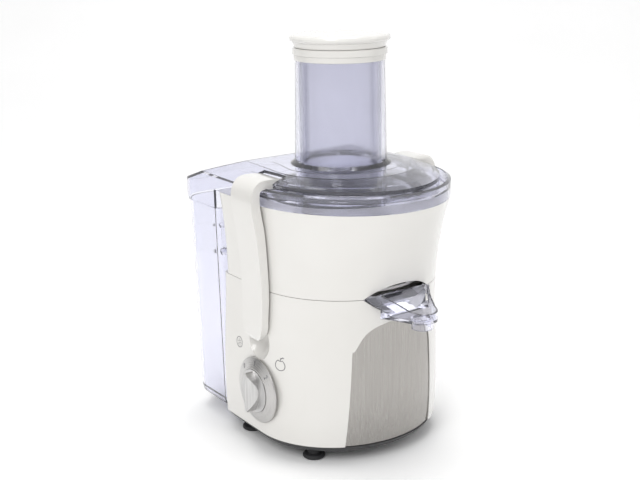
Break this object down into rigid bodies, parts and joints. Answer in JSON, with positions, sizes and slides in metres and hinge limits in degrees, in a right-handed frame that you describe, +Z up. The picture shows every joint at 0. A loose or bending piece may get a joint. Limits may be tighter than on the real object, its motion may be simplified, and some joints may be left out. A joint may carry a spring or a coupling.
{
  "type": "centrifugal juicer",
  "caption": "Centrifugal juicer with a wide feed tube and pusher, spinning sieve, front spout, side clamps, rear pulp container and a rotary speed knob.",
  "frame": {"origin": "on the counter, below the centre of the machine's outline in plan", "axes": "+Z up; -Y is the front, where the spout is; +Y the pulp container; the control knob is on -X"},
  "size_m": [0.2126, 0.2767, 0.3775],
  "materials": {
    "white_plastic": "gloss",
    "clear_plastic": "clear",
    "clear_smoke": "clear, lightly tinted",
    "milky_plastic": "milky",
    "brushed_steel": "brushed",
    "sieve_steel": "perforated",
    "black_plastic": "matte",
    "rubber": "matte",
    "copper": "enamelled copper wire",
    "motor_steel": "bare steel",
    "aluminium": "satin",
    "circuit_board": "circuit board"
  },
  "bodies": {
    "motor_unit": {"base_plate": "black_plastic", "base_screws": "motor_steel", "board_components": "black_plastic", "brush_holders": "black_plastic", "carbon_brushes": "black_plastic", "cord_bush": "rubber", "dial_ring": "brushed_steel", "field_coils": "copper", "foot_front_left": "rubber", "foot_front_right": "rubber", "foot_rear_left": "rubber", "foot_rear_right": "rubber", "front_panel": "brushed_steel", "interlock_switches": "black_plastic", "lower_bearing": "motor_steel", "lower_motor_bracket": "aluminium", "motor_housing": "white_plastic", "motor_mount_screws": "motor_steel", "rotary_switch": "black_plastic", "rubber_dampers": "rubber", "shaft_seal": "rubber", "speed_board": "circuit_board", "stator_core": "motor_steel", "upper_bearing": "motor_steel", "upper_motor_bracket": "aluminium"},
    "rotor": {"motor_shaft": "motor_steel", "drive_coupling": "black_plastic", "armature_core": "motor_steel", "armature_windings_lower": "copper", "armature_windings_upper": "copper", "commutator": "copper", "cooling_fan": "black_plastic"},
    "sieve": {"sieve_base": "white_plastic", "sieve_mesh": "sieve_steel", "sieve_rim": "sieve_steel", "grater_disc": "sieve_steel"},
    "collector": {"juice_collector": "white_plastic", "juice_spout": "clear_plastic"},
    "lid_unit": {"lid": "clear_plastic", "feed_tube_collar": "white_plastic", "clamp_pin_left": "motor_steel", "clamp_pin_right": "motor_steel"},
    "pusher": {"pusher_sleeve": "milky_plastic", "pusher_cap": "white_plastic"},
    "clamp_left": {"clamp_arm_left": "white_plastic"},
    "clamp_right": {"clamp_arm_right": "white_plastic"},
    "container": {"pulp_container": "clear_smoke"},
    "knob": {"knob_grip": "brushed_steel", "switch_spindle": "black_plastic"}
  },
  "joints": [
    {"name": "rotor_spin", "type": "hinge", "parent": "motor_unit", "child": "rotor", "pos_m": [0, -0.009, 0.1], "axis": [0, 0, 1], "continuous": true},
    {"name": "sieve_lift", "type": "slide", "parent": "rotor", "child": "sieve", "axis": [0, 0, 1], "range_m": [0, 0.08]},
    {"name": "collector_lift", "type": "slide", "parent": "motor_unit", "child": "collector", "axis": [0, 0, 1], "range_m": [0, 0.045]},
    {"name": "lid_lift", "type": "slide", "parent": "motor_unit", "child": "lid_unit", "axis": [0, 0, 1], "range_m": [0, 0.12]},
    {"name": "pusher_slide", "type": "slide", "parent": "lid_unit", "child": "pusher", "axis": [0, 0, 1], "range_m": [0, 0.16]},
    {"name": "clamp_left_swing", "type": "hinge", "parent": "lid_unit", "child": "clamp_left", "pos_m": [-0.074, -0.009, 0.2534], "axis": [0, 1, 0], "range_deg": [0, 61]},
    {"name": "clamp_right_swing", "type": "hinge", "parent": "lid_unit", "child": "clamp_right", "pos_m": [0.074, -0.009, 0.2534], "axis": [0, -1, 0], "range_deg": [0, 61]},
    {"name": "container_slide", "type": "slide", "parent": "motor_unit", "child": "container", "axis": [0, 1, 0], "range_m": [0, 0.15]},
    {"name": "knob_turn", "type": "hinge", "parent": "motor_unit", "child": "knob", "pos_m": [-0.0921, -0.0035, 0.06], "axis": [-1, 0, 0], "range_deg": [-45, 45]}
  ],
  "couplings": [
    {"joint": "clamp_left_swing", "follows": "lid_lift", "rad_per_m": 8.7266},
    {"joint": "clamp_right_swing", "follows": "lid_lift", "rad_per_m": 8.7266},
    {"joint": "sieve_lift", "follows": "lid_lift", "ratio": 0.6},
    {"joint": "collector_lift", "follows": "lid_lift", "ratio": 0.3}
  ]
}
